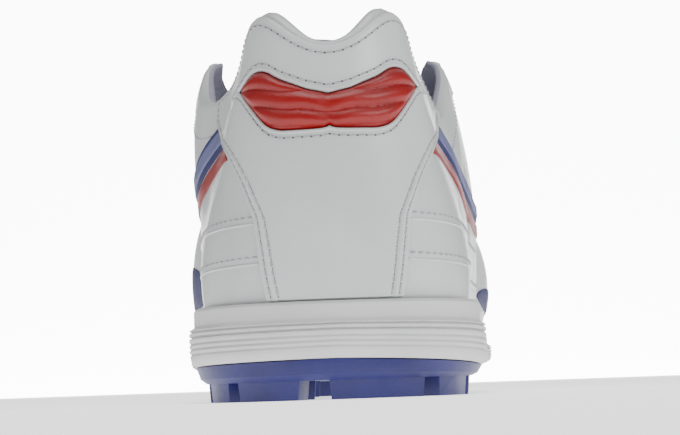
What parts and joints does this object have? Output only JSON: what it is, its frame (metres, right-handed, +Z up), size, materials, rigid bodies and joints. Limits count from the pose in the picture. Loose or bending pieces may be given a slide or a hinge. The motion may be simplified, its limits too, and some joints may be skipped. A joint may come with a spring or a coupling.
{
  "type": "turf shoe",
  "caption": "Low turf shoe with a padded collar, heel counter, ribbed heel pad, laced throat, foam midsole and a lugged rubber outsole.",
  "frame": {"origin": "centre of the bounding box in plan, on the plane of the lug feet", "axes": "+Y from heel to toe, +X to the outer side of the foot, +Z up"},
  "size_m": [0.099, 0.288, 0.1031],
  "materials": {
    "white_leather": "pearly satin coated leather",
    "red_leather": "satin ribbed synthetic leather",
    "white_foam": "matte moulded foam",
    "blue_rubber": "matte moulded rubber",
    "grey_cloth": "woven lining cloth",
    "white_cord": "flat woven lace"
  },
  "bodies": {
    "root": {"outsole": "blue_rubber", "midsole": "white_foam", "insole": "grey_cloth", "upper": "white_leather", "heel_counter": "white_leather", "heel_pad": "red_leather", "eyestay": "white_leather", "tongue": "grey_cloth", "laces": "white_cord"}
  },
  "joints": []
}
